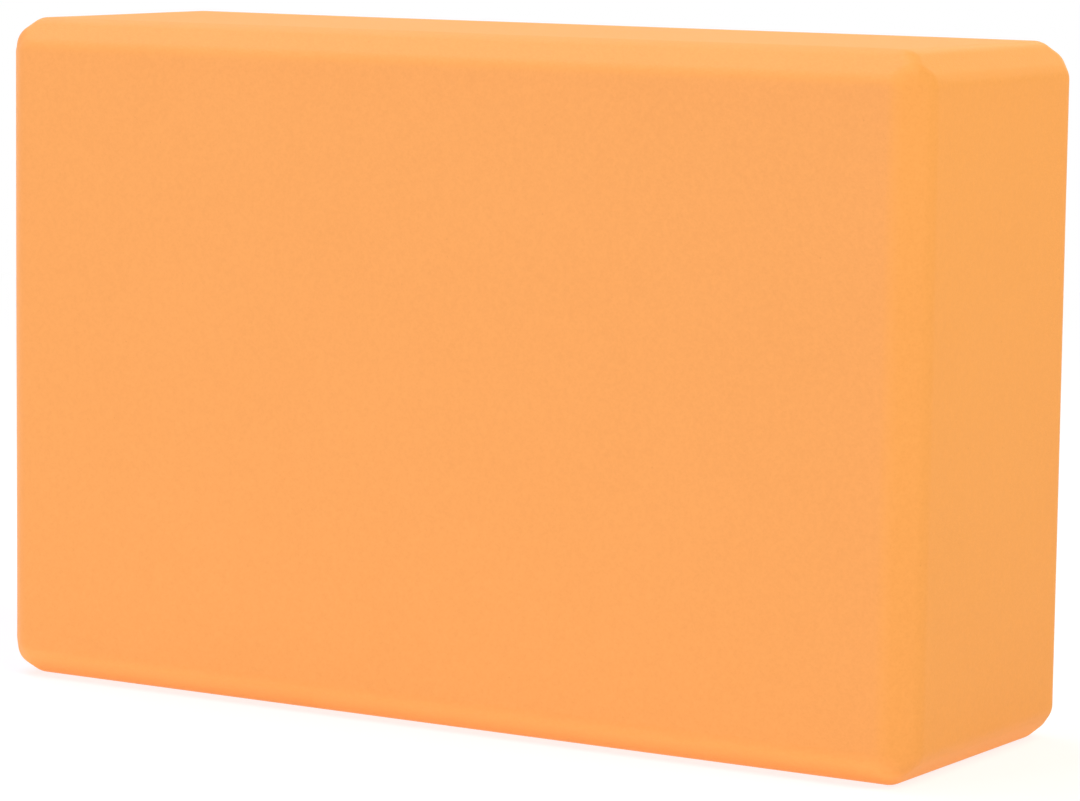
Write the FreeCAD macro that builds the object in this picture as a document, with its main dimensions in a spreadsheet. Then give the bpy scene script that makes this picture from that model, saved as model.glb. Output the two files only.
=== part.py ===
"""A foam yoga block, as a parametric document. Sizes are in millimetres.

The block stands on one of its long narrow sides. Its origin is at the middle of its base: X runs along
the length, Y through the thickness with the front at negative Y, and Z is up.

It is one brick of foam. A cutter at 45 degrees has taken a bevel off each of the twelve edges, straight
across the whole brick, so three bevels meet at every corner in mitred ridges. All the edges that this
leaves are then rounded.
"""

import FreeCAD, Part
import Sketcher
import os

# The driving dimensions: name, size, and what it measures
DIMENSIONS = (
    ("block_length", 230.0, "left to right, along X"),
    ("block_height", 148.0, "base to top, along Z"),
    ("block_thickness", 74.0, "front to back, along Y"),
    ("edge_bevel", 5.9, "leg of the bevel on all twelve edges, square to the faces that it joins"),
    ("edge_rounding", 5.0, "radius of every edge between a face and a bevel, or between two bevels"),
)

# The three runs of four parallel edges: the plane that a run crosses, and the two sizes across it
BEVEL_RUNS = (
    ("front_to_back", "XZ_Plane", "block_length", "block_height"),
    ("left_to_right", "YZ_Plane", "block_thickness", "block_height"),
    ("base_to_top", "XY_Plane", "block_length", "block_thickness"),
)

# Ends of a line, and the sketch's own origin, as sketch constraints number them
START, END = 1, 2
ORIGIN = (-1, 1)

SIDES = (-1, 1)
CUBIC_MM_PER_LITRE = 1e6


def fill_sheet(doc):
    """A sheet with one row for each driving dimension: its name, its size under that alias, its meaning."""
    sheet = doc.addObject("Spreadsheet::Sheet", "Sizes")
    for row, (alias, size, meaning) in enumerate(DIMENSIONS, start=1):
        sheet.set(f"A{row}", alias)
        sheet.set(f"B{row}", str(size))
        sheet.setAlias(f"B{row}", alias)
        sheet.set(f"C{row}", meaning)
    doc.recompute()


def cell(alias):
    """The sheet's cell of that name, as an expression."""
    return f"Sizes.{alias}"


def half(alias):
    """Half the size in that cell, as an expression."""
    return f"{cell(alias)} / 2"


def new_sketch(body, name, role):
    """A sketch on the body's own origin plane with that role."""
    plane = next(feature for feature in body.Origin.OriginFeatures if feature.Role == role)
    sketch = body.newObject("Sketcher::SketchObject", name)
    sketch.AttachmentSupport = [(plane, "")]
    sketch.MapMode = "FlatFace"
    return sketch


def add_outline(sketch, corners):
    """Straight lines from corner to corner and back to the first, joined end to end; returns their ids."""
    points = [FreeCAD.Vector(across, up, 0) for across, up in corners]
    lines = [
        sketch.addGeometry(Part.LineSegment(start, end), False)
        for start, end in zip(points, points[1:] + points[:1])
    ]
    for line, next_line in zip(lines, lines[1:] + lines[:1]):
        sketch.addConstraint(Sketcher.Constraint("Coincident", line, END, next_line, START))
    return lines


def bind(sketch, constraint, expression):
    """Adds a dimension to the sketch and ties it to an expression."""
    index = sketch.addConstraint(constraint)
    sketch.setExpression(f"Constraints[{index}]", expression)


def pin_point(sketch, point, at, expressions):
    """Holds a point of the sketch at its distances, across and up, from the sketch's origin.

    point is a line's id and end, at is roughly where the point is, and a distance runs from the lower
    of the two to the higher, so that it is positive on either side of the origin.
    """
    for kind, place, expression in zip(("DistanceX", "DistanceY"), at, expressions):
        ends = (*point, *ORIGIN) if place < 0 else (*ORIGIN, *point)
        bind(sketch, Sketcher.Constraint(kind, *ends, abs(place)), expression)


def add_brick(body, size):
    """The square brick, centred on the body's origin: its front outline, padded half to each side."""
    sketch = new_sketch(body, "front_outline", "XZ_Plane")
    x, z = size["block_length"] / 2, size["block_height"] / 2
    base, right, top, left = add_outline(sketch, [(-x, -z), (x, -z), (x, z), (-x, z)])
    for line in (base, top):
        sketch.addConstraint(Sketcher.Constraint("Horizontal", line))
    for line in (right, left):
        sketch.addConstraint(Sketcher.Constraint("Vertical", line))
    halves = (half("block_length"), half("block_height"))
    pin_point(sketch, (base, START), (-x, -z), halves)
    pin_point(sketch, (top, START), (x, z), halves)
    brick = body.newObject("PartDesign::Pad", "brick")
    brick.Profile = sketch
    brick.SideType = "Symmetric"
    brick.setExpression("Length", cell("block_thickness"))
    return brick


def add_corner_cut(sketch, corner, leg, halves):
    """One triangle of waste: a right angle on the brick's corner, with both its legs as long as the bevel."""
    across, up = corner
    inward_across = across - leg if across > 0 else across + leg
    inward_up = up - leg if up > 0 else up + leg
    flat, _, upright = add_outline(sketch, [corner, (inward_across, up), (across, inward_up)])
    sketch.addConstraint(Sketcher.Constraint("Horizontal", flat))
    sketch.addConstraint(Sketcher.Constraint("Vertical", upright))
    for line in (flat, upright):
        bind(sketch, Sketcher.Constraint("Distance", line, leg), cell("edge_bevel"))
    pin_point(sketch, (flat, START), corner, halves)


def add_bevels(body, size, run, role, across, up):
    """The bevels of one run of four parallel edges, cut through the whole brick."""
    sketch = new_sketch(body, f"{run}_waste", role)
    halves = (half(across), half(up))
    for side in SIDES:
        for level in SIDES:
            corner = (side * size[across] / 2, level * size[up] / 2)
            add_corner_cut(sketch, corner, size["edge_bevel"], halves)
    cut = body.newObject("PartDesign::Pocket", f"{run}_bevels")
    cut.Profile = sketch
    cut.Type = "ThroughAll"
    cut.SideType = "Symmetric"
    return cut


def round_edges(body, cut):
    """Rounds every edge of the bevelled brick."""
    rounding = body.newObject("PartDesign::Fillet", "rounded_edges")
    rounding.Base = (cut, [""])
    rounding.UseAllEdges = True
    rounding.setExpression("Radius", cell("edge_rounding"))
    return rounding


def make_foam_block(doc):
    """The block, worked about its own centre and placed so that it stands on its base."""
    size = {alias: value for alias, value, _ in DIMENSIONS}
    body = doc.addObject("PartDesign::Body", "foam_block")
    body.Label = "foam_block"
    feature = add_brick(body, size)
    doc.recompute()
    for run in BEVEL_RUNS:
        uncut = feature.Shape.Volume
        feature = add_bevels(body, size, *run)
        doc.recompute()
        if not feature.Shape.Volume < uncut:
            raise RuntimeError(f"{feature.Name} took nothing off the brick")
    body.Tip = round_edges(body, feature)
    body.setExpression("Placement.Base.z", half("block_height"))
    return body


def check_document(doc, bodies):
    """Raises an error if a feature failed or a body has no sound solid."""
    for item in doc.Objects:
        if "Invalid" in item.State or "Error" in item.State:
            raise RuntimeError(f"{item.Name} failed: {item.State}")
    for body in bodies:
        if body.Shape.isNull() or not body.Shape.isValid() or len(body.Shape.Solids) != 1:
            raise RuntimeError(f"{body.Label} is not one sound solid")


def main():
    doc = FreeCAD.newDocument("yoga_block")
    fill_sheet(doc)
    bodies = [make_foam_block(doc)]
    doc.recompute()
    check_document(doc, bodies)
    os.makedirs("parts", exist_ok=True)
    for body in bodies:
        body.Shape.exportStep(f"parts/{body.Label}.step")
        box = body.Shape.BoundBox
        litres = body.Shape.Volume / CUBIC_MM_PER_LITRE
        sides = f"{box.XLength:.2f} x {box.YLength:.2f} x {box.ZLength:.2f} mm"
        print(f"{body.Label}: {sides}, {litres:.4f} litres")


main()
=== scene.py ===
"""Studio picture of a foam yoga block.

The block's worked surface and its foam finish stand on a pale floor, among soft lamps and before a camera.
Lengths are in metres, in the block's own frame: X along its length, Y through its thickness with the front
at negative Y, Z up from the middle of its base.
"""

import math

import bpy
import numpy as np
from bpy.props import FloatProperty, FloatVectorProperty, PointerProperty
from bpy.types import Operator, Panel, PropertyGroup, Scene
from mathutils import Matrix, Vector


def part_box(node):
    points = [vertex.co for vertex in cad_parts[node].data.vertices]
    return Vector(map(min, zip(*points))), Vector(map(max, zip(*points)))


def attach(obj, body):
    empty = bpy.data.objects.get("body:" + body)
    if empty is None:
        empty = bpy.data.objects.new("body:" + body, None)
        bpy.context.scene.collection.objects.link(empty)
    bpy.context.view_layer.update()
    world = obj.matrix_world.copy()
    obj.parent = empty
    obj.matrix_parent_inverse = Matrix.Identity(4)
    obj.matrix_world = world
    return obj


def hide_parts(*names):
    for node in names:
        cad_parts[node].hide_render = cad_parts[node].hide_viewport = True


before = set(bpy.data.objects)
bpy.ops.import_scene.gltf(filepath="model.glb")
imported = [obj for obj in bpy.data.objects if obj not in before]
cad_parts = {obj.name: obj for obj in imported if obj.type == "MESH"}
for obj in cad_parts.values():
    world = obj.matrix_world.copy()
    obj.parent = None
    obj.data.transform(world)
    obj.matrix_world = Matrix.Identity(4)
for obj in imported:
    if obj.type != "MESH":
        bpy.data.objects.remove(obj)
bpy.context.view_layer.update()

bl_info = {
    "name": "Foam Yoga Block",
    "version": (1, 0, 0),
    "blender": (4, 5, 0),
    "location": "3D View > Sidebar > Yoga Block",
    "description": "Makes a bevelled foam block with a fine closed-cell finish, and a studio to show it in",
    "category": "Object",
}

BLOCK_NODE = "foam_block"
MM = 0.001
PHOTO_WIDTH_PX = 1080
SENSOR_WIDTH_MM = 36.0


class BlockShape(PropertyGroup):
    """The block's edges, and how evenly the foam is cut."""

    bevel: FloatProperty(
        name="Bevel", description="Leg of the bevel on every edge", default=5.9 * MM, unit="LENGTH"
    )
    rounding: FloatProperty(
        name="Rounding", description="Radius of the edges that the bevels leave", default=5.0 * MM,
        unit="LENGTH",
    )
    waviness: FloatProperty(
        name="Waviness", description="How far the cut faces swell and dip", default=0.08 * MM, unit="LENGTH"
    )
    edge_step: FloatProperty(
        name="Edge step", description="Mesh spacing along the edges", default=0.4 * MM, unit="LENGTH"
    )
    face_step: FloatProperty(
        name="Face step", description="Mesh spacing on the flat faces", default=2.4 * MM, unit="LENGTH"
    )


class FoamFinish(PropertyGroup):
    """The foam's colours and grain."""

    # The deep colour is the foam's darker tone, which the grain, blotches and cells reach at random. It is
    # also painted shade in each cell's hollow, and the pale colour is reached on the cell walls
    deep: FloatVectorProperty(
        name="Deep colour", description="Foam between the cells", subtype="COLOR", size=4,
        default=(0.94, 0.38, 0.092, 1.0), min=0.0, max=1.0,
    )
    pale: FloatVectorProperty(
        name="Pale colour", description="Foam on the cell walls", subtype="COLOR", size=4,
        default=(0.98, 0.406, 0.104, 1.0), min=0.0, max=1.0,
    )
    # Painted shade: the pit colour darkens the bottom of each pit, where shade would fall
    pit: FloatVectorProperty(
        name="Pit colour", description="Foam at the bottom of a pit", subtype="COLOR", size=4,
        default=(0.72, 0.25, 0.05, 1.0), min=0.0, max=1.0,
    )
    cell: FloatProperty(
        name="Cell", description="Width of a foam cell", default=0.45 * MM, unit="LENGTH"
    )
    roughness: FloatProperty(
        name="Roughness", description="Roughness of the cut foam", default=0.55, subtype="FACTOR",
        min=0.0, max=1.0,
    )
    gloss: FloatProperty(
        name="Gloss", description="Strength of the foam's own reflection", default=0.13, subtype="FACTOR",
        min=0.0, max=1.0,
    )


class StudioLook(PropertyGroup):
    """The floor, the lamps and the camera."""

    floor: FloatVectorProperty(
        name="Floor", description="Colour of the floor", subtype="COLOR", size=4,
        default=(0.72, 0.72, 0.72, 1.0), min=0.0, max=1.0,
    )
    glow: FloatProperty(
        name="Floor glow", description="Light that the floor gives by itself", default=0.46, min=0.0
    )
    paleness: FloatProperty(
        name="Floor paleness", description="How far the picture shows the floor as white", default=0.6,
        subtype="FACTOR", min=0.0, max=1.0,
    )
    ambient: FloatProperty(
        name="Ambient", description="Even light from all round", default=0.02, min=0.0
    )
    overhead: FloatProperty(
        name="Overhead lamp", description="Power of the softbox above", default=15.9, unit="POWER"
    )
    front: FloatProperty(
        name="Front lamp", description="Power of the low softbox in front", default=10.8, unit="POWER"
    )
    upper_right: FloatProperty(
        name="Upper right lamp", description="Power of the softbox high on the right", default=15.4,
        unit="POWER",
    )
    back: FloatProperty(
        name="Back lamp", description="Power of the softbox behind", default=6.0, unit="POWER"
    )
    azimuth: FloatProperty(
        name="Azimuth", description="Camera's turn to the right of the front", subtype="ANGLE",
        default=math.radians(31.893),
    )
    elevation: FloatProperty(
        name="Elevation", description="Camera's height above the horizon", subtype="ANGLE",
        default=math.radians(6.956),
    )
    roll: FloatProperty(
        name="Roll", description="Camera's turn about its own axis", subtype="ANGLE",
        default=math.radians(0.719),
    )
    distance: FloatProperty(
        name="Distance", description="From the camera to the point that it aims at", default=0.9671,
        unit="LENGTH",
    )
    aim: FloatVectorProperty(
        name="Aim", description="Point in the middle of the picture", subtype="TRANSLATION", size=3,
        default=(5.02 * MM, 0.0, 67.52 * MM),
    )
    focal_px: FloatProperty(
        name="Focal length in pixels", description="Focal length in pixels of the photograph", default=4451.0
    )


class Wire:
    """A shader socket for use in Python expressions: each operation on values adds one Math node."""

    def __init__(self, tree, socket):
        self.tree = tree
        self.socket = socket

    def math(self, operation, first, second):
        return self.tree.add("ShaderNodeMath", {"operation": operation}, {0: first, 1: second})

    def __add__(self, other):
        return self.math("ADD", self, other)

    def __radd__(self, other):
        return self.math("ADD", other, self)

    def __sub__(self, other):
        return self.math("SUBTRACT", self, other)

    def __rsub__(self, other):
        return self.math("SUBTRACT", other, self)

    def __mul__(self, other):
        return self.math("MULTIPLY", self, other)

    def __rmul__(self, other):
        return self.math("MULTIPLY", other, self)


class ShaderTree:
    """The nodes of one material or of the world."""

    def __init__(self, owner):
        owner.use_nodes = True
        self.nodes = owner.node_tree.nodes
        self.links = owner.node_tree.links
        self.nodes.clear()

    def add(self, kind, settings=None, sockets=None, output=0):
        """One output of a new node, whose settings are set first, then each socket's value or link."""
        node = self.nodes.new(kind)
        for name, value in (settings or {}).items():
            setattr(node, name, value)
        for name, value in (sockets or {}).items():
            if isinstance(value, Wire):
                self.links.new(value.socket, node.inputs[name])
            else:
                node.inputs[name].default_value = value
        return Wire(self, node.outputs[output]) if node.outputs else None

    def mix(self, share, first, second):
        """The first colour, with that share of it replaced by the second."""
        return self.add("ShaderNodeMix", {"data_type": "RGBA"}, {0: share, 6: first, 7: second}, output=2)

    def rise(self, value, low, high):
        """0 below low, 1 above high, and a smooth step between them."""
        sockets = {"Value": value, "From Min": low, "From Max": high}
        return self.add("ShaderNodeMapRange", {"interpolation_type": "SMOOTHSTEP"}, sockets)

    def picture_ray(self):
        """1 on a ray that draws the picture: one from the camera, or mirrored or bent on its way to it."""
        return sum(
            self.add("ShaderNodeLightPath", output=name)
            for name in ("Is Camera Ray", "Is Glossy Ray", "Is Transmission Ray")
        )

    def surface(self, shader):
        self.add("ShaderNodeOutputMaterial", sockets={"Surface": shader})


# Shape of the block

SQUARE_ROOT_2 = math.sqrt(2.0)
AXIS_PAIRS = ((0, 1), (0, 2), (1, 2))
NEAREST_ROUNDS = 80

# Half the turn from a face to the bevel beside it
HALF_TURN = math.radians(22.5)

# Waves of the swell: radians in a millimetre along X, Y and Z, and where the wave starts, in radians
SWELL_WAVES = (
    ((1 / 17, 0, 1 / 29), 0.0),
    ((-1 / 23, 1 / 13, 0), 1.3),
    ((0, 1 / 31, 1 / 19), 2.1),
)


def graded_places(half, zone, edge_step, face_step):
    """Places from -half to half: edge_step apart in a zone at each end, about face_step apart between."""
    near = np.arange(round(zone / edge_step)) * edge_step
    inner = half - zone
    middle = np.linspace(-inner, inner, round(2 * inner / face_step) + 1)
    return np.concatenate([-half + near, middle, (half - near)[::-1]])


def brick_lattice(places):
    """Points on the outside of a square brick, a grid on each of its six sides, and its four-sided faces.

    places holds the grid lines across X, Y and Z. A point on an edge or corner belongs to two or three
    grids, and is kept once. Faces run anticlockwise seen from outside.
    """
    counts = [len(line) for line in places]
    numbers = []
    faces = []
    for axis in range(3):
        across, up = (axis + 1) % 3, (axis + 2) % 3
        for end in (0, counts[axis] - 1):
            i, j = np.meshgrid(np.arange(counts[across]), np.arange(counts[up]), indexing="ij")
            index = [None, None, None]
            index[axis], index[across], index[up] = np.full_like(i, end), i, j
            number = np.ravel_multi_index(index, counts)
            quads = np.stack([number[:-1, :-1], number[1:, :-1], number[1:, 1:], number[:-1, 1:]], axis=-1)
            faces.append((quads if end else quads[..., ::-1]).reshape(-1, 4))
            numbers.append(number.ravel())
    used = np.unique(np.concatenate(numbers))
    where = np.unravel_index(used, counts)
    points = np.stack([line[w] for line, w in zip(places, where)], axis=1)
    return points, np.searchsorted(used, np.concatenate(faces))


def nearest_in_core(points, half, bevel, rounding):
    """The nearest point to each one in the core: the bevelled block with the rounding taken off all round.

    By symmetry one eighth is worked. Its limits are the three faces, x at most a reach, and the three
    bevels, x + y at most a sum. Each limit in turn pulls the points back, after giving back its last pull,
    until they settle (Dykstra's method).
    """
    place = np.abs(points)
    limits = []
    for axis in range(3):
        normal = np.eye(3)[axis]
        limits.append((normal, half[axis] - rounding))
    for a, b in AXIS_PAIRS:
        normal = (np.eye(3)[a] + np.eye(3)[b]) / SQUARE_ROOT_2
        limits.append((normal, (half[a] + half[b] - bevel) / SQUARE_ROOT_2 - rounding))
    pulls = np.zeros((len(limits), len(place)))
    for _ in range(NEAREST_ROUNDS):
        for k, (normal, reach) in enumerate(limits):
            place = place + pulls[k][:, None] * normal
            pulls[k] = np.maximum(place @ normal - reach, 0.0)
            place = place - pulls[k][:, None] * normal
    return np.copysign(place, points)


def swell(points):
    """A slow, even swell from -1 to 1 over the block: the mean of crossed sine waves."""
    waves = [np.sin(points / MM @ np.array(turns) + start) for turns, start in SWELL_WAVES]
    return np.mean(waves, axis=0)


def block_surface(shape, low, high):
    """The rounded, bevelled block between two corners of its box: p = core + rounding * outward.

    A grid point of the square brick is drawn to the core's nearest point, until it is one rounding away from
    it. The faces swell a little, but not at the base, where the block stands.

    Returns the points, the faces, each point's ridge value, which is 1 on edges and 0 on flats, and how
    squarely each point faces the front or the back, from 0 to 1.
    """
    low, high = np.array(low), np.array(high)
    half, centre = (high - low) / 2, (high + low) / 2
    zone = shape.bevel + shape.rounding
    places = [graded_places(h, zone, shape.edge_step, shape.face_step) for h in half]
    brick, faces = brick_lattice(places)
    core = nearest_in_core(brick, half, shape.bevel, shape.rounding)
    outward = brick - core
    outward /= np.linalg.norm(outward, axis=1)[:, None]
    points = core + shape.rounding * outward
    above_base = np.clip((points[:, 2] + half[2]) / zone, 0.0, 1.0)
    points = points + outward * (shape.waviness * swell(points) * above_base)[:, None]
    lean = np.sort(np.abs(outward), axis=1)
    to_face = lean[:, 2]
    to_bevel = (lean[:, 2] + lean[:, 1]) / SQUARE_ROOT_2
    ridge = (1.0 - np.maximum(to_face, to_bevel)) / (1.0 - math.cos(HALF_TURN))
    return points + centre, faces, np.clip(ridge, 0.0, 1.0), np.abs(outward[:, 1])


def mesh_object(name, points, faces):
    """An object with that name, whose mesh has those points and four-sided faces, shaded smooth."""
    mesh = bpy.data.meshes.new(name)
    mesh.from_pydata(points, [], faces)
    mesh.shade_smooth()
    made = bpy.data.objects.new(name, mesh)
    bpy.context.scene.collection.objects.link(made)
    return made


def add_values(made, name, values):
    """A value for each point of the mesh, under that name, for its material to read."""
    attribute = made.data.attributes.new(name, "FLOAT", "POINT")
    attribute.data.foreach_set("value", values.astype(np.float32))


# Finishes

WHITE = (1.0, 1.0, 1.0, 1.0)

# Sizes in the foam, and how much finer detail its two noises hold
GRAIN = 1.3 * MM
GRAIN_DETAIL = 4.0
BLOTCH = 34.0 * MM
BLOTCH_DETAIL = 2.0
PIT_SPACING = 6.0 * MM
PIT_RADIUS = 0.25 * MM
PIT_FLOOR_RADIUS = 0.1 * MM

# The middle of a pattern's values, and how far each pattern moves the foam's colour
MIDDLE = 0.5
GRAIN_TINT = 1.1
BLOTCH_TINT = 0.5
CELL_TINT = 0.5
# Painted shade: how far each cell's hollow is darkened and its walls lightened
HOLLOW_SHADE = 0.4
RIDGE_TINT = 0.25
# Painted shade: how far the pits are darkened
PIT_SHADE = 0.25

# The relief: the share of each pattern, how far the skin flattens it, and its strength and depth
WALL_RELIEF = 0.7
GRAIN_RELIEF = 0.6
PIT_RELIEF = 0.5
SKIN_FLATTENING = 0.35
BUMP_STRENGTH = 0.22
BUMP_DEPTH = 0.2 * MM

# How far the grain moves the roughness, and how far the skin and the edges lower it
GRAIN_ROUGHNESS = 0.14
SKIN_SMOOTHNESS = 0.05
RIDGE_SMOOTHNESS = 0.05

# How squarely a point faces the front or the back where the skin starts, and where it is full
SKIN_START = 0.93
SKIN_FULL = 0.99

# Distances from the block's middle between which the picture's floor turns white
FADE_START = 0.35
FADE_END = 1.0


def foam_finish(look):
    """Matte closed-cell foam: fine cells of uneven tint with painted shade in their hollows, grain, faint
    blotches, a few pits darkened by painted shade, paler edges.
    """
    material = bpy.data.materials.new("orange_foam")
    tree = ShaderTree(material)
    place = tree.add("ShaderNodeTexCoord", output="Object")
    ridge = tree.add("ShaderNodeAttribute", {"attribute_name": "ridge"}, output="Fac")
    skin = tree.add("ShaderNodeAttribute", {"attribute_name": "skin"}, output="Fac")
    in_cells = {"Vector": place, "Scale": 1 / look.cell}
    wall = tree.add("ShaderNodeTexVoronoi", sockets=in_cells)
    tint = tree.add("ShaderNodeTexVoronoi", sockets=in_cells, output="Color")
    tint = tree.add("ShaderNodeSeparateColor", sockets={"Color": tint})
    in_grain = {"Vector": place, "Scale": 1 / GRAIN, "Detail": GRAIN_DETAIL}
    grain = tree.add("ShaderNodeTexNoise", sockets=in_grain)
    in_blotches = {"Vector": place, "Scale": 1 / BLOTCH, "Detail": BLOTCH_DETAIL}
    blotch = tree.add("ShaderNodeTexNoise", sockets=in_blotches)
    from_pit = tree.add("ShaderNodeTexVoronoi", sockets={"Vector": place, "Scale": 1 / PIT_SPACING})
    pit = 1 - tree.rise(from_pit, PIT_FLOOR_RADIUS / PIT_SPACING, PIT_RADIUS / PIT_SPACING)
    lightness = (
        MIDDLE
        + GRAIN_TINT * (grain - MIDDLE)
        + BLOTCH_TINT * (blotch - MIDDLE)
        + CELL_TINT * (tint - MIDDLE)
        # Painted shade: darker in each cell's hollow, where the relief dips, and lighter on its walls
        + HOLLOW_SHADE * (wall - MIDDLE)
    )
    colour = tree.mix(lightness + RIDGE_TINT * ridge, tuple(look.deep), tuple(look.pale))
    # Painted shade: each pit is darkened towards the pit colour
    colour = tree.mix(PIT_SHADE * pit, colour, tuple(look.pit))
    height = (1 - SKIN_FLATTENING * skin) * (WALL_RELIEF * wall + GRAIN_RELIEF * grain) - PIT_RELIEF * pit
    relief = {"Strength": BUMP_STRENGTH, "Distance": BUMP_DEPTH, "Height": height}
    bump = tree.add("ShaderNodeBump", sockets=relief)
    roughness = (
        look.roughness
        + GRAIN_ROUGHNESS * (grain - MIDDLE)
        - SKIN_SMOOTHNESS * skin
        - RIDGE_SMOOTHNESS * ridge
    )
    shader = tree.add(
        "ShaderNodeBsdfPrincipled",
        sockets={
            "Base Color": colour,
            "Roughness": roughness,
            "Normal": bump,
            "Specular IOR Level": look.gloss,
        },
    )
    tree.surface(shader)
    return material


def floor_finish(look):
    """A plain pale floor that glows a little. Away from the block, the picture's own rays find it white."""
    material = bpy.data.materials.new("pale_floor")
    tree = ShaderTree(material)
    matte = tree.add("ShaderNodeBsdfDiffuse", sockets={"Color": tuple(look.floor)})
    glow = tree.add("ShaderNodeEmission", sockets={"Color": WHITE, "Strength": look.glow})
    floor = tree.add("ShaderNodeAddShader", sockets={0: matte, 1: glow})
    place = tree.add("ShaderNodeTexCoord", output="Object")
    away = tree.add("ShaderNodeVectorMath", {"operation": "LENGTH"}, {0: place}, output="Value")
    white = tree.add("ShaderNodeEmission", sockets={"Color": WHITE, "Strength": 1.0})
    faded = look.paleness + (1.0 - look.paleness) * tree.rise(away, FADE_START, FADE_END)
    share = tree.picture_ray() * faded
    tree.surface(tree.add("ShaderNodeMixShader", sockets={0: share, 1: floor, 2: white}))
    return material


# Studio

FLOOR_HALF = 30.0
FLOOR_CORNERS = ((-1, -1), (1, -1), (1, 1), (-1, 1))

# The lamps by the name of their power: place, side and tint
COOL = (0.77, 0.77, 1.0)
WARM = (1.0, 0.98, 0.73)
SOFTBOXES = {
    "overhead": ((-0.55, 0.0, 1.3), 1.2, COOL),
    "front": ((-0.55, -1.55, 0.3), 0.5, COOL),
    "upper_right": ((1.0, -0.2, 1.25), 0.9, WARM),
    "back": ((0.1, 1.7, 0.9), 1.2, WARM),
}


def add_softbox(name, place, side, tint, power):
    """A square lamp at place that faces the middle of the block, hidden from the camera itself."""
    low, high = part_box(BLOCK_NODE)
    middle = (Vector(low) + Vector(high)) / 2
    lamp = bpy.data.lights.new(f"{name}_softbox", "AREA")
    lamp.shape = "SQUARE"
    lamp.size = side
    lamp.color = tint
    lamp.energy = power
    made = bpy.data.objects.new(lamp.name, lamp)
    made.location = place
    made.rotation_euler = (middle - made.location).to_track_quat("-Z", "Y").to_euler()
    made.visible_camera = False
    bpy.context.scene.collection.objects.link(made)


def light_world(look):
    """Even light from all round, which the camera and reflections see as white."""
    world = bpy.data.worlds.new("studio")
    tree = ShaderTree(world)
    strength = look.ambient + (1.0 - look.ambient) * tree.picture_ray()
    shader = tree.add("ShaderNodeBackground", sockets={"Color": WHITE, "Strength": strength})
    tree.add("ShaderNodeOutputWorld", sockets={"Surface": shader})
    bpy.context.scene.world = world


def aim_camera(look):
    """A camera at the photograph's angle, distance and focal length."""
    camera = bpy.data.cameras.new("camera")
    camera.sensor_fit = "HORIZONTAL"
    camera.sensor_width = SENSOR_WIDTH_MM
    camera.lens = look.focal_px * SENSOR_WIDTH_MM / PHOTO_WIDTH_PX
    made = bpy.data.objects.new("camera", camera)
    right = Vector((math.cos(look.azimuth), math.sin(look.azimuth), 0.0))
    level = math.cos(look.elevation)
    back = Vector((right.y * level, -right.x * level, math.sin(look.elevation)))
    axes = Matrix((right, back.cross(right), back)).transposed()
    turned = axes @ Matrix.Rotation(look.roll, 3, "Z")
    made.matrix_world = Matrix.Translation(Vector(look.aim) + back * look.distance) @ turned.to_4x4()
    bpy.context.scene.collection.objects.link(made)
    bpy.context.scene.camera = made


# Operators and panel

class YOGA_OT_foam_block(Operator):
    """Make the block's worked surface and its foam finish"""

    bl_idname = "yoga.foam_block"
    bl_label = "Foam Block"

    def execute(self, context):
        shape = context.scene.yoga_shape
        points, faces, ridge, facing = block_surface(shape, *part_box(BLOCK_NODE))
        skin = np.clip((facing - SKIN_START) / (SKIN_FULL - SKIN_START), 0.0, 1.0)
        block = mesh_object("bevelled_foam_block", points, faces)
        add_values(block, "ridge", ridge)
        add_values(block, "skin", skin)
        block.data.materials.append(foam_finish(context.scene.yoga_finish))
        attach(block, "root")
        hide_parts(BLOCK_NODE)
        return {"FINISHED"}


class YOGA_OT_stage(Operator):
    """Make the pale floor, the soft lamps and the camera"""

    bl_idname = "yoga.stage"
    bl_label = "Studio"

    def execute(self, context):
        look = context.scene.yoga_studio
        corners = [(FLOOR_HALF * x, FLOOR_HALF * y, 0.0) for x, y in FLOOR_CORNERS]
        floor = mesh_object("floor", corners, [(0, 1, 2, 3)])
        floor.data.materials.append(floor_finish(look))
        for name, (place, side, tint) in SOFTBOXES.items():
            add_softbox(name, place, side, tint, getattr(look, name))
        light_world(look)
        aim_camera(look)
        context.scene.view_settings.view_transform = "Standard"
        return {"FINISHED"}


class YOGA_PT_panel(Panel):
    """Sizes, colours and lamps, with a button for each thing that can be made"""

    bl_idname = "YOGA_PT_panel"
    bl_label = "Yoga Block"
    bl_space_type = "VIEW_3D"
    bl_region_type = "UI"
    bl_category = "Yoga Block"

    def draw(self, context):
        for settings, operator in (
            ((context.scene.yoga_shape, context.scene.yoga_finish), YOGA_OT_foam_block),
            ((context.scene.yoga_studio,), YOGA_OT_stage),
        ):
            column = self.layout.column()
            for group in settings:
                for name in group.__annotations__:
                    column.prop(group, name)
            column.operator(operator.bl_idname)


CLASSES = (BlockShape, FoamFinish, StudioLook, YOGA_OT_foam_block, YOGA_OT_stage, YOGA_PT_panel)


def register():
    for kind in CLASSES:
        bpy.utils.register_class(kind)
    Scene.yoga_shape = PointerProperty(type=BlockShape)
    Scene.yoga_finish = PointerProperty(type=FoamFinish)
    Scene.yoga_studio = PointerProperty(type=StudioLook)


def unregister():
    del Scene.yoga_studio
    del Scene.yoga_finish
    del Scene.yoga_shape
    for kind in reversed(CLASSES):
        bpy.utils.unregister_class(kind)


def main():
    register()
    bpy.ops.yoga.foam_block()
    bpy.ops.yoga.stage()


if __name__ == "__main__":
    main()
